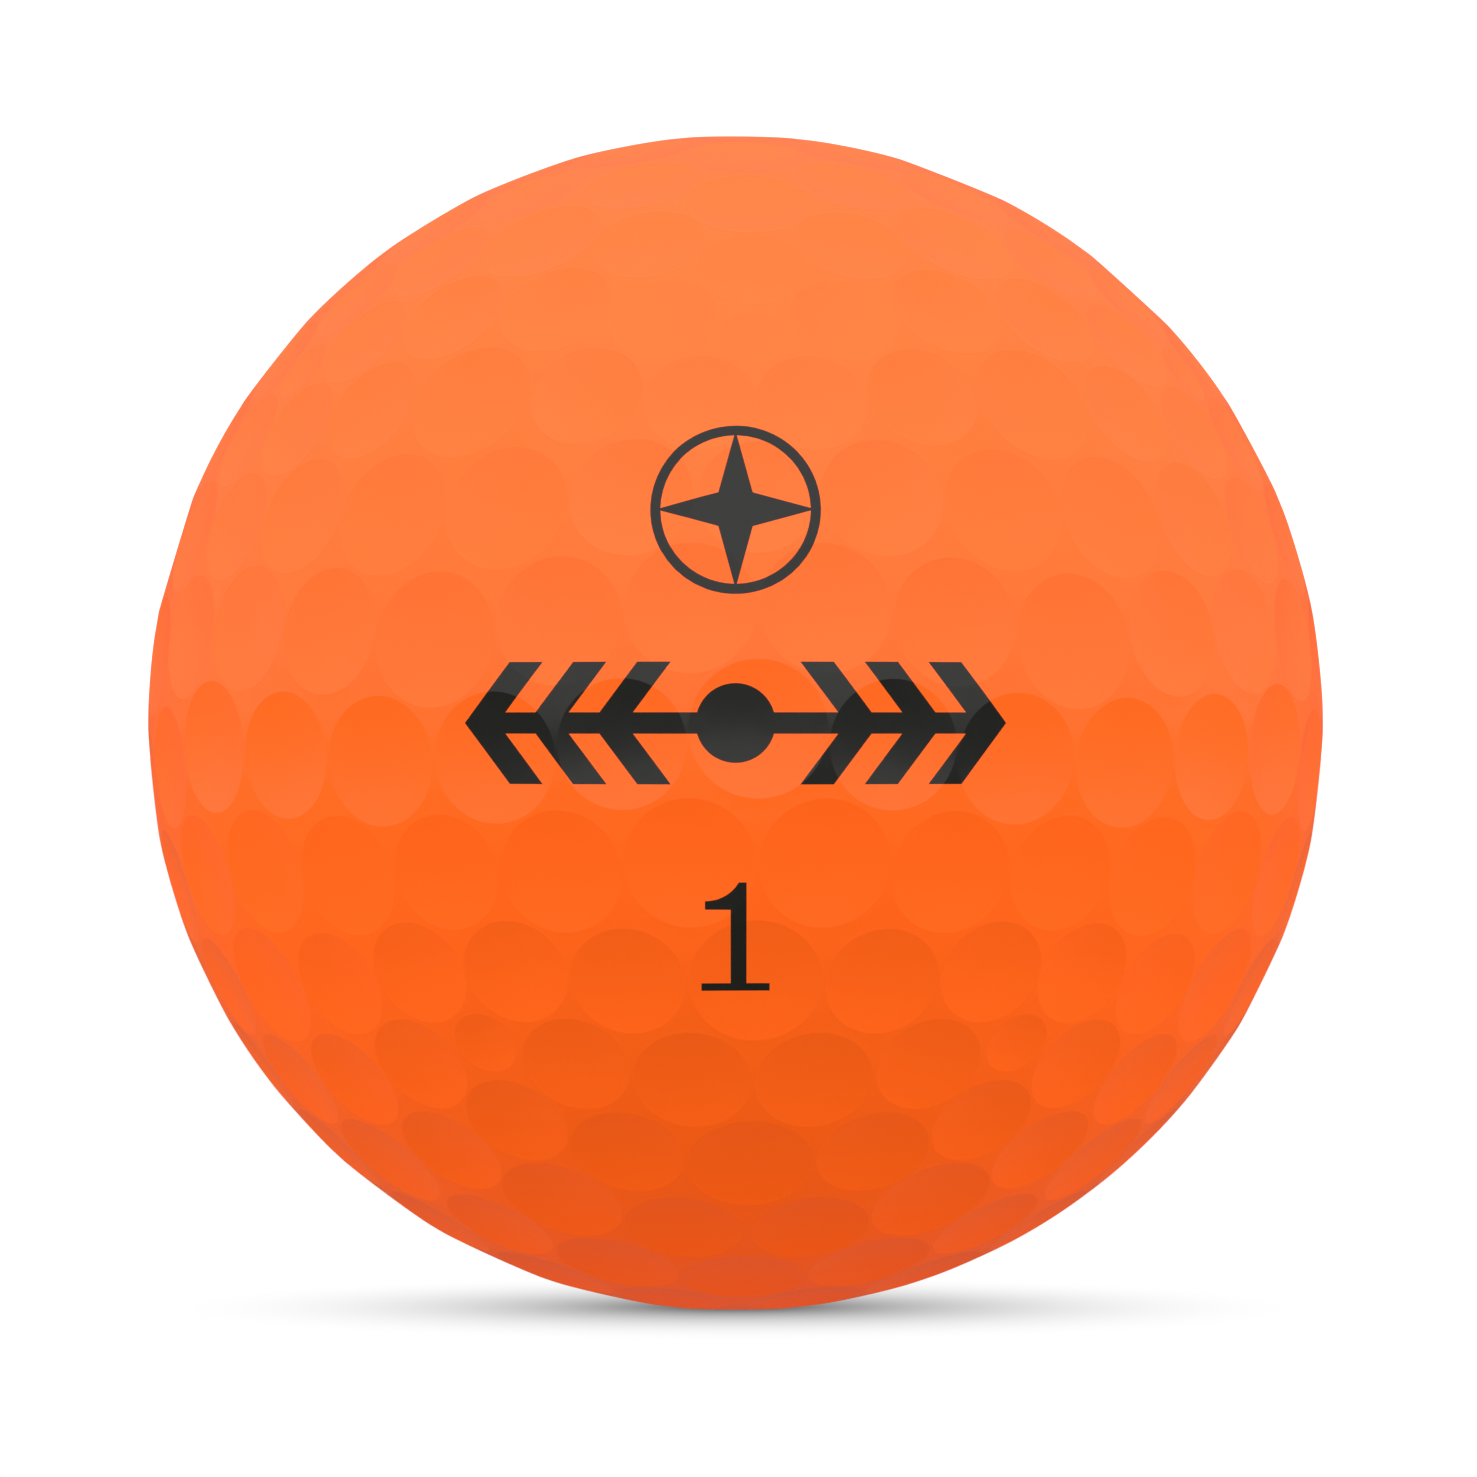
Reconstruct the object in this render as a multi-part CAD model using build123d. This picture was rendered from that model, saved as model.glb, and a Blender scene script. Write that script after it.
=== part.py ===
"""Golf ball, 42.67 mm across: a rubber core, a mantle, a cover with 362 dimples, and six prints.

The origin is at the centre of the ball, +Z is up, and the front prints face -Y. The back of the
ball carries the same three prints as the front. Every print is a thin film of ink let into the
cover, and it follows the dimples under it.
"""
from build123d import *
from math import asin, cos, radians, sin, sqrt, tan
import os

os.makedirs("parts", exist_ok=True)

# Driving dimensions, in millimetres and degrees.
BALL_DIAMETER = 42.67
MANTLE_DIAMETER = 41.10
CORE_DIAMETER = 38.90

EDGE_ANGLE = 13.5  # between a dimple's wall and the ball's surface, at the dimple's rim
POLE_LEAN = 3.7  # the dimple pattern's axis leans back from +Z by this much
POLE_TURN = 2.0  # and the pattern is turned about that axis by this much
SECTORS = 6  # the pattern repeats this many times around its axis
CUTTER_MARGIN = 0.01  # how far a dimple's cutter reaches past the rim
PLUG_REACH = 0.5  # how far it reaches into and out of the ball's surface, deeper than any dimple

INK_DEPTH = 0.05
PRINT_AREA = 35.0  # every print lies within this angle of the middle of its side
PUNCH_START = 17.0  # a print's punch starts this far from the middle of the ball
PUNCH_LENGTH = 7.0

EMBLEM_HEIGHT = 7.0  # the middle of the emblem, above the middle of the ball
EMBLEM_RADIUS = 2.80
EMBLEM_LINE = 0.34
STAR_WAIST = 0.80

BAR_REACH = 8.2
BAR_WIDTH = 0.7
DOT_RADIUS = 1.3
CHEVRONS = 3
CHEVRON_PITCH = 2.1
CHEVRON_NOSE = 0.7  # how far the outermost chevron's tip stands past the bar
CHEVRON_HEIGHT = 4.0
CHEVRON_SLANT = 1.5
CHEVRON_LINE = 1.1

NUMBER_DROP = 7.0  # the middle of the play number, below the middle of the ball
NUMBER_HEIGHT = 3.6
STEM_RIGHT = 0.36
STEM_WIDTH = 0.52
SERIF_REACH = 1.12
SERIF_THICKNESS = 0.25
FLAG_REACH = 1.0
FLAG_TOP_WIDTH = 0.25
FLAG_DROP = 0.62
FLAG_THICKNESS = 0.28
FLAG_HOLLOW_RIGHT = 0.10  # the middle of the flag's curved edge, right of a straight edge's middle
FLAG_HOLLOW_DOWN = 0.14  # and below it

BALL_RADIUS = BALL_DIAMETER / 2
MANTLE_RADIUS = MANTLE_DIAMETER / 2
CORE_RADIUS = CORE_DIAMETER / 2
SECTOR = 360 / SECTORS

# One sixth of the pattern's upper half: latitude, longitude and rim diameter of each dimple.
# A dimple between longitudes 0 and 30 has a mirror image at minus its longitude. The lower half
# is the upper half's mirror image, turned by half a sector.
POLE_DIMPLE = 4.15
DIMPLES = (
    (77.3, 0.0, 4.05),
    (69.1, 30.0, 4.35),
    (65.6, 0.0, 4.35),
    (58.0, 18.9, 4.05),
    (53.5, 0.0, 4.30),
    (48.0, 30.0, 4.30),
    (46.4, 13.6, 3.90),
    (42.4, 0.0, 3.70),
    (37.6, 23.1, 3.95),
    (35.8, 10.1, 3.70),
    (33.4, 0.0, 2.30),
    (26.2, 5.6, 3.70),
    (27.2, 17.2, 3.85),
    (27.2, 30.0, 4.40),
    (16.7, 0.0, 3.95),
    (16.8, 11.7, 4.15),
    (16.1, 23.8, 4.35),
    (6.5, 6.0, 4.35),
    (5.5, 17.9, 4.30),
    (4.2, 30.0, 4.55),
)


def turned(x=0.0, y=0.0, z=0.0):
    """A turn about the middle of the ball."""
    return Location((0, 0, 0), (x, y, z))


def dimple_layout():
    """Where each dimple goes, as a turn that carries +Z to its middle, with its rim diameter."""
    upper = [(90.0, 0.0, POLE_DIMPLE)]
    for latitude, longitude, diameter in DIMPLES:
        on_mirror_line = longitude in (0.0, SECTOR / 2)
        for sector in range(SECTORS):
            upper.append((latitude, sector * SECTOR + longitude, diameter))
            if not on_mirror_line:
                upper.append((latitude, sector * SECTOR - longitude, diameter))
    lower = [(-latitude, longitude + SECTOR / 2, diameter) for latitude, longitude, diameter in upper]
    pattern = turned(x=-POLE_LEAN) * turned(z=POLE_TURN)
    layout = []
    for latitude, longitude, diameter in upper + lower:
        layout.append((pattern * turned(z=longitude) * turned(x=90 - latitude), diameter))
    return layout


def dimple_cutter(diameter, inset=0.0):
    """A round plug at +Z with a spherical end; with an inset it cuts the layer that deep under it."""
    rim_radius = diameter / 2
    wall_angle = radians(EDGE_ANGLE) - asin(rim_radius / BALL_RADIUS)
    centre_height = sqrt(BALL_RADIUS**2 - rim_radius**2) + rim_radius / tan(wall_angle)
    floor_radius = rim_radius / sin(wall_angle) + inset
    # The sphere's own poles point sideways and its seam up, so that none of them crosses the floor.
    floor = Pos(0, 0, centre_height) * turned(y=-90) * Sphere(floor_radius)
    plug = Pos(0, 0, BALL_RADIUS) * Cylinder(rim_radius + CUTTER_MARGIN, 2 * PLUG_REACH)
    return floor & plug


def dimpled_sphere(layout, inset=0.0):
    """The ball's outer surface as a solid, or the surface that lies a given inset under it."""
    cutters = {diameter: dimple_cutter(diameter, inset) for _, diameter in layout}
    return Sphere(BALL_RADIUS - inset).cut(*[place * cutters[diameter] for place, diameter in layout])


def emblem_outline():
    """A ring with a four-pointed star whose tips run into it."""
    ring = Circle(EMBLEM_RADIUS) - Circle(EMBLEM_RADIUS - EMBLEM_LINE)
    tip_radius = EMBLEM_RADIUS - EMBLEM_LINE / 2
    points = []
    for quarter in range(4):
        points.append(Vector(0, tip_radius).rotate(Axis.Z, 90 * quarter))
        points.append(Vector(0, STAR_WAIST).rotate(Axis.Z, 90 * quarter + 45))
    return ring + make_face(Polyline(*points, close=True))


def alignment_outline():
    """A bar through a centre dot, with chevrons strung along it that point to its two ends."""
    outline = Rectangle(2 * BAR_REACH, BAR_WIDTH) + Circle(DOT_RADIUS)
    half_height = CHEVRON_HEIGHT / 2
    for number in range(CHEVRONS):
        tip = BAR_REACH + CHEVRON_NOSE - number * CHEVRON_PITCH
        chevron = Polyline(
            (tip, 0),
            (tip - CHEVRON_SLANT, half_height),
            (tip - CHEVRON_SLANT - CHEVRON_LINE, half_height),
            (tip - CHEVRON_LINE, 0),
            (tip - CHEVRON_SLANT - CHEVRON_LINE, -half_height),
            (tip - CHEVRON_SLANT, -half_height),
            close=True,
        )
        right = make_face(chevron)
        outline = outline + right + mirror(right, Plane.YZ)
    return outline


def number_outline():
    """The play number 1: a stem with a flag at its top and a serif under its foot."""
    top = NUMBER_HEIGHT / 2
    stem_left = STEM_RIGHT - STEM_WIDTH
    flag_start = STEM_RIGHT - FLAG_TOP_WIDTH
    flag_end = top - FLAG_DROP
    serif_top = SERIF_THICKNESS - top
    hollow_x = (flag_start - FLAG_REACH) / 2 + FLAG_HOLLOW_RIGHT
    hollow_y = (top + flag_end) / 2 - FLAG_HOLLOW_DOWN
    flag_curve = ThreePointArc((flag_start, top), (hollow_x, hollow_y), (-FLAG_REACH, flag_end))
    rest = Polyline(
        (-FLAG_REACH, flag_end),
        (-FLAG_REACH, flag_end - FLAG_THICKNESS),
        (stem_left, flag_end - FLAG_THICKNESS),
        (stem_left, serif_top),
        (-SERIF_REACH, serif_top),
        (-SERIF_REACH, -top),
        (SERIF_REACH, -top),
        (SERIF_REACH, serif_top),
        (STEM_RIGHT, serif_top),
        (STEM_RIGHT, top),
        (flag_start, top),
    )
    return make_face([flag_curve, *rest.edges()])


def punch(outline, height):
    """A print's outline at its height on the front, pushed out through the ball's surface."""
    return extrude(Plane.XZ.offset(PUNCH_START) * Pos(0, height) * outline, PUNCH_LENGTH)


PUNCHES = {
    "emblem": punch(emblem_outline(), EMBLEM_HEIGHT),
    "alignment_mark": punch(alignment_outline(), 0.0),
    "number": punch(number_outline(), -NUMBER_DROP),
}
SIDES = {"front": turned(), "back": turned(z=180)}

layout = dimple_layout()
ball = dimpled_sphere(layout)

pockets = []
for side, half_turn in SIDES.items():
    middle = half_turn * Pos(0, -BALL_RADIUS, 0)
    limit = 2 * BALL_RADIUS * sin(radians(PRINT_AREA / 2))
    nearby = []
    for place, diameter in layout:
        dimple_middle = place * Pos(0, 0, BALL_RADIUS)
        if (dimple_middle.position - middle.position).length < limit:
            nearby.append((place, diameter))
    under_layer = dimpled_sphere(nearby, INK_DEPTH)
    for name, front_punch in PUNCHES.items():
        pocket = half_turn * front_punch - under_layer
        film = pocket & ball
        pockets.append(pocket)
        export_step(film, f"parts/{side}_{name}.step")

mantle_ball = Sphere(MANTLE_RADIUS)
core = Sphere(CORE_RADIUS)
cover = ball.cut(mantle_ball, *pockets)
mantle = mantle_ball - core

export_step(cover, "parts/cover.step")
export_step(mantle, "parts/mantle.step")
export_step(core, "parts/core.step")
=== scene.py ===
"""Studio scene of a dimpled orange golf ball on a white floor, in front of a white backdrop."""
from math import radians, sqrt

import bpy
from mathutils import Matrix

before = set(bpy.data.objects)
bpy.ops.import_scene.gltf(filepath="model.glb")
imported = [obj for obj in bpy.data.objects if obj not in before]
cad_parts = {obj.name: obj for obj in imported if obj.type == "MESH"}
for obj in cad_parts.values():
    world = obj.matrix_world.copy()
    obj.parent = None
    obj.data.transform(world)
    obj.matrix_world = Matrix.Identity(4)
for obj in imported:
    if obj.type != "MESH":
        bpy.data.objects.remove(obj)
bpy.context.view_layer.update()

MM = 0.001  # in metres, the frame's unit
BALL_RADIUS = 21.335 * MM

# The camera is level with the middle of the ball and looks along +Y.
CAMERA_DISTANCE = 8.97 * BALL_RADIUS
CLIP_START = 0.01
CLIP_END = 20.0
SENSOR_WIDTH = 36.0  # in millimetres, as Blender counts it
BALL_SHARE_OF_WIDTH = 0.7955  # of the picture's width, between the ball's two edges
SHIFT_RIGHT = 0.0020
SHIFT_DOWN = 0.0105

# The sky has a base strength all round, and its slope says how much more comes from the front
# and from above. The ball's gloss mirrors a darker one, as if a dark card stood behind the ball.
BACKDROP_WHITE = 1.25
SKY_BASE = 1.12
SKY_SLOPE = (0.0, -0.32, 0.26)
MIRRORED_BASE = 0.75
MIRRORED_SLOPE = (0.0, -0.70, 0.35)

# One lamp hangs above the ball. Two stand low behind it, one on each side, and light its edges,
# partly through the floor, which casts no shadow.
OVERHEAD_ENERGY = 1.2
OVERHEAD_SIZE = 0.5
OVERHEAD_PLACE = (0, -0.25, 0.50)
RIM_ENERGY = 0.85
RIM_SIZE = 0.30
RIM_PLACE = (0.42, 0.16, -0.06)

# The floor glows with painted bounce light, orange near the ball as if thrown up from the ball
# itself. In the ball's gloss it glows with painted shade under and behind the ball, brighter towards
# the front.
FLOOR_SIZE = 6.0
# Painted contact shadow: an oval of shade on the floor, this far to each side and to the front and
# back.
SHADE_REACH_SIDEWAYS = BALL_RADIUS
SHADE_REACH_FORWARDS = BALL_RADIUS / 2
FLOOR_BOUNCE_NEAR = (0.85, 0.48, 0.01)
FLOOR_BOUNCE_FAR = (0.72, 0.64, 0.26)
BOUNCE_REACH = 1.6 * BALL_RADIUS
FLOOR_MIRRORED_NEAR = (0.12, 0.12, 0.12)
FLOOR_MIRRORED_FAR = (0.56, 0.56, 0.56)
MIRRORED_REACH = 12 * BALL_RADIUS

# The octaves of noise in a material's clouds of colour, and in its grain of gloss and relief.
CLOUD_DETAIL = 3
GRAIN_DETAIL = 2


def new_material(name):
    material = bpy.data.materials.new(name)
    material.use_nodes = True
    return material, material.node_tree.nodes, material.node_tree.links


def noise(nodes, links, per_mm, detail):
    """A noise texture in the object's own coordinates, with the given grains in a millimetre."""
    coordinates = nodes.new("ShaderNodeTexCoord")
    texture = nodes.new("ShaderNodeTexNoise")
    texture.inputs["Scale"].default_value = per_mm / MM
    texture.inputs["Detail"].default_value = detail
    links.new(coordinates.outputs["Object"], texture.inputs["Vector"])
    return texture.outputs["Fac"]


def colour_between(nodes, links, factor, low, high):
    """A colour that runs from low to high with the factor."""
    mix = nodes.new("ShaderNodeMix")
    mix.data_type = "RGBA"
    mix.inputs["A"].default_value = (*low, 1)
    mix.inputs["B"].default_value = (*high, 1)
    links.new(factor, mix.inputs["Factor"])
    return mix.outputs["Result"]


def number_between(nodes, links, value, low, high, end=1.0):
    """A number that runs from low, where the value is 0, to high, where it reaches the end."""
    span = nodes.new("ShaderNodeMapRange")
    span.inputs["From Max"].default_value = end
    span.inputs["To Min"].default_value = low
    span.inputs["To Max"].default_value = high
    links.new(value, span.inputs["Value"])
    return span.outputs["Result"]


def bump(nodes, links, height, depth):
    """A surface normal for a relief of the given depth."""
    relief = nodes.new("ShaderNodeBump")
    relief.inputs["Distance"].default_value = depth
    links.new(height, relief.inputs["Height"])
    return relief.outputs["Normal"]


def speckled(name, *, colours, clouds_per_mm, roughness, grains_per_mm, grain_depth, ior):
    """A moulded or coated material: faint clouds of colour, and a fine grain in gloss and relief."""
    material, nodes, links = new_material(name)
    shader = nodes["Principled BSDF"]
    shader.inputs["IOR"].default_value = ior
    clouds = noise(nodes, links, clouds_per_mm, CLOUD_DETAIL)
    grain = noise(nodes, links, grains_per_mm, GRAIN_DETAIL)
    links.new(colour_between(nodes, links, clouds, *colours), shader.inputs["Base Color"])
    links.new(number_between(nodes, links, grain, *roughness), shader.inputs["Roughness"])
    links.new(bump(nodes, links, grain, grain_depth), shader.inputs["Normal"])
    return material


def dress(cad_nodes, material):
    for name in cad_nodes:
        bpy.data.objects[name].material_slots[0].material = material


def make_camera():
    camera = bpy.data.cameras.new("camera")
    camera.sensor_width = SENSOR_WIDTH
    # The tangent of the angle between the camera's axis and the line that grazes the ball.
    edge_slope = 1 / sqrt((CAMERA_DISTANCE / BALL_RADIUS) ** 2 - 1)
    camera.lens = SENSOR_WIDTH * BALL_SHARE_OF_WIDTH / 2 / edge_slope
    camera.shift_x = SHIFT_RIGHT
    camera.shift_y = -SHIFT_DOWN
    camera.clip_start = CLIP_START
    camera.clip_end = CLIP_END
    holder = bpy.data.objects.new("camera", camera)
    holder.location = (0, -CAMERA_DISTANCE, 0)
    holder.rotation_euler = (radians(90), 0, 0)
    bpy.context.scene.collection.objects.link(holder)
    bpy.context.scene.camera = holder


def glow(nodes, links, socket, value):
    """An emission whose colour or strength follows the value."""
    emission = nodes.new("ShaderNodeEmission")
    links.new(value, emission.inputs[socket])
    return emission.outputs["Emission"]


def either(nodes, links, factor, usual, chosen):
    """The usual shader where the factor is 0, and the chosen one where it is 1."""
    mix = nodes.new("ShaderNodeMixShader")
    links.new(factor, mix.inputs["Fac"])
    links.new(usual, mix.inputs[1])
    links.new(chosen, mix.inputs[2])
    return mix.outputs["Shader"]


def painted_contact_shade(nodes, links, place):
    """The floor's brightness: 1 in the open, and a painted shadow, an oval of soft shade where the
    ball touches it.
    """
    oval = nodes.new("ShaderNodeMapping")
    oval.inputs["Scale"].default_value = (1 / SHADE_REACH_SIDEWAYS, 1 / SHADE_REACH_FORWARDS, 1)
    links.new(place, oval.inputs["Vector"])
    shade = nodes.new("ShaderNodeTexGradient")
    shade.gradient_type = "QUADRATIC_SPHERE"
    links.new(oval.outputs["Vector"], shade.inputs["Vector"])
    brightness = nodes.new("ShaderNodeMath")
    brightness.operation = "SUBTRACT"
    brightness.inputs[0].default_value = 1.0
    links.new(shade.outputs["Fac"], brightness.inputs[1])
    return brightness.outputs["Value"]


def painted_floor_bounce(nodes, links, place):
    """The colour of the painted bounce light that the floor glows with, by the distance from the
    ball.
    """
    distance = nodes.new("ShaderNodeVectorMath")
    distance.operation = "LENGTH"
    links.new(place, distance.inputs[0])
    farness = number_between(nodes, links, distance.outputs["Value"], 0, 1, BOUNCE_REACH)
    return colour_between(nodes, links, farness, FLOOR_BOUNCE_NEAR, FLOOR_BOUNCE_FAR)


def painted_floor_in_gloss(nodes, links, place):
    """The grey that the floor glows in a gloss: painted shade under and behind the ball, brightening
    towards the front.
    """
    axes = nodes.new("ShaderNodeSeparateXYZ")
    links.new(place, axes.inputs["Vector"])
    forwardness = number_between(nodes, links, axes.outputs["Y"], 0, 1, -MIRRORED_REACH)
    return colour_between(nodes, links, forwardness, FLOOR_MIRRORED_NEAR, FLOOR_MIRRORED_FAR)


def make_floor_material():
    """White with a painted contact shadow to the camera, painted dark to a gloss, and painted warm
    light to all other light.
    """
    material, nodes, links = new_material("floor_white")
    material.cycles.emission_sampling = "NONE"
    nodes.remove(nodes["Principled BSDF"])
    place = nodes.new("ShaderNodeTexCoord").outputs["Object"]
    # The camera sees the floor glowing white, with a painted contact shadow.
    seen = glow(nodes, links, "Strength", painted_contact_shade(nodes, links, place))
    # Painted bounce light for the ball's diffuse light, and painted shade for its gloss to mirror.
    bounced = glow(nodes, links, "Color", painted_floor_bounce(nodes, links, place))
    mirrored = glow(nodes, links, "Color", painted_floor_in_gloss(nodes, links, place))
    path = nodes.new("ShaderNodeLightPath")
    thrown = either(nodes, links, path.outputs["Is Glossy Ray"], bounced, mirrored)
    surface = either(nodes, links, path.outputs["Is Camera Ray"], thrown, seen)
    links.new(surface, nodes["Material Output"].inputs["Surface"])
    return material


def make_floor():
    half = FLOOR_SIZE / 2
    corners = [(-half, -half, 0), (half, -half, 0), (half, half, 0), (-half, half, 0)]
    mesh = bpy.data.meshes.new("floor")
    mesh.from_pydata(corners, [], [(0, 1, 2, 3)])
    mesh.materials.append(make_floor_material())
    floor = bpy.data.objects.new("floor", mesh)
    floor.location.z = -BALL_RADIUS
    floor.visible_shadow = False
    bpy.context.scene.collection.objects.link(floor)


def sky_strength(nodes, links, base, slope):
    """The base all round, and more on the side that the slope points to."""
    direction = nodes.new("ShaderNodeTexCoord")
    rise = nodes.new("ShaderNodeVectorMath")
    rise.operation = "DOT_PRODUCT"
    rise.inputs[1].default_value = slope
    links.new(direction.outputs["Generated"], rise.inputs[0])
    strength = nodes.new("ShaderNodeMath")
    strength.operation = "ADD"
    strength.inputs[1].default_value = base
    links.new(rise.outputs["Value"], strength.inputs[0])
    return strength.outputs["Value"]


def make_world():
    """White to the camera, the mirrored sky to a gloss, and the sky to all other light."""
    world = bpy.data.worlds.new("backdrop")
    world.use_nodes = True
    nodes, links = world.node_tree.nodes, world.node_tree.links
    path = nodes.new("ShaderNodeLightPath")
    lit = nodes.new("ShaderNodeMix")
    links.new(path.outputs["Is Glossy Ray"], lit.inputs["Factor"])
    links.new(sky_strength(nodes, links, SKY_BASE, SKY_SLOPE), lit.inputs["A"])
    links.new(sky_strength(nodes, links, MIRRORED_BASE, MIRRORED_SLOPE), lit.inputs["B"])
    seen = nodes.new("ShaderNodeMix")
    seen.inputs["B"].default_value = BACKDROP_WHITE
    links.new(path.outputs["Is Camera Ray"], seen.inputs["Factor"])
    links.new(lit.outputs["Result"], seen.inputs["A"])
    background = nodes["Background"]
    background.inputs["Color"].default_value = (1, 1, 1, 1)
    links.new(seen.outputs["Result"], background.inputs["Strength"])
    bpy.context.scene.world = world


def make_softbox(name, energy, size, location):
    """A square lamp that faces the ball. It gives no highlight, and the camera doesn't see it."""
    light = bpy.data.lights.new(name, "AREA")
    light.shape = "SQUARE"
    light.energy = energy
    light.size = size
    lamp = bpy.data.objects.new(name, light)
    lamp.location = location
    lamp.rotation_euler = (-lamp.location).to_track_quat("-Z", "Y").to_euler()
    lamp.visible_camera = False
    lamp.visible_glossy = False
    bpy.context.scene.collection.objects.link(lamp)


make_camera()
make_floor()
make_world()
make_softbox("overhead_softbox", OVERHEAD_ENERGY, OVERHEAD_SIZE, OVERHEAD_PLACE)
for side, sign in (("left", -1), ("right", 1)):
    x, y, z = RIM_PLACE
    make_softbox(f"{side}_rim_softbox", RIM_ENERGY, RIM_SIZE, (sign * x, y, z))

orange = speckled(
    "cover_orange",
    colours=((0.95, 0.112, 0.002), (0.98, 0.120, 0.004)),
    clouds_per_mm=0.25,
    roughness=(0.32, 0.40),
    grains_per_mm=5.0,
    grain_depth=0.0004 * MM,
    ior=1.42,
)
ink = speckled(
    "ink_black",
    colours=((0.006, 0.007, 0.006), (0.009, 0.010, 0.009)),
    clouds_per_mm=2.0,
    roughness=(0.14, 0.20),
    grains_per_mm=8.0,
    grain_depth=0.0002 * MM,
    ior=1.38,
)
ionomer = speckled(
    "mantle_ionomer",
    colours=((0.82, 0.81, 0.76), (0.90, 0.89, 0.84)),
    clouds_per_mm=0.3,
    roughness=(0.45, 0.60),
    grains_per_mm=4.0,
    grain_depth=0.002 * MM,
    ior=1.5,
)
rubber = speckled(
    "core_rubber",
    colours=((0.03, 0.12, 0.24), (0.05, 0.17, 0.32)),
    clouds_per_mm=1.5,
    roughness=(0.70, 0.90),
    grains_per_mm=6.0,
    grain_depth=0.010 * MM,
    ior=1.5,
)

dress(["cover"], orange)
dress(["mantle"], ionomer)
dress(["core"], rubber)
for side in ("front", "back"):
    dress([f"{side}_emblem", f"{side}_alignment_mark", f"{side}_number"], ink)

bpy.context.scene.view_settings.view_transform = "Standard"
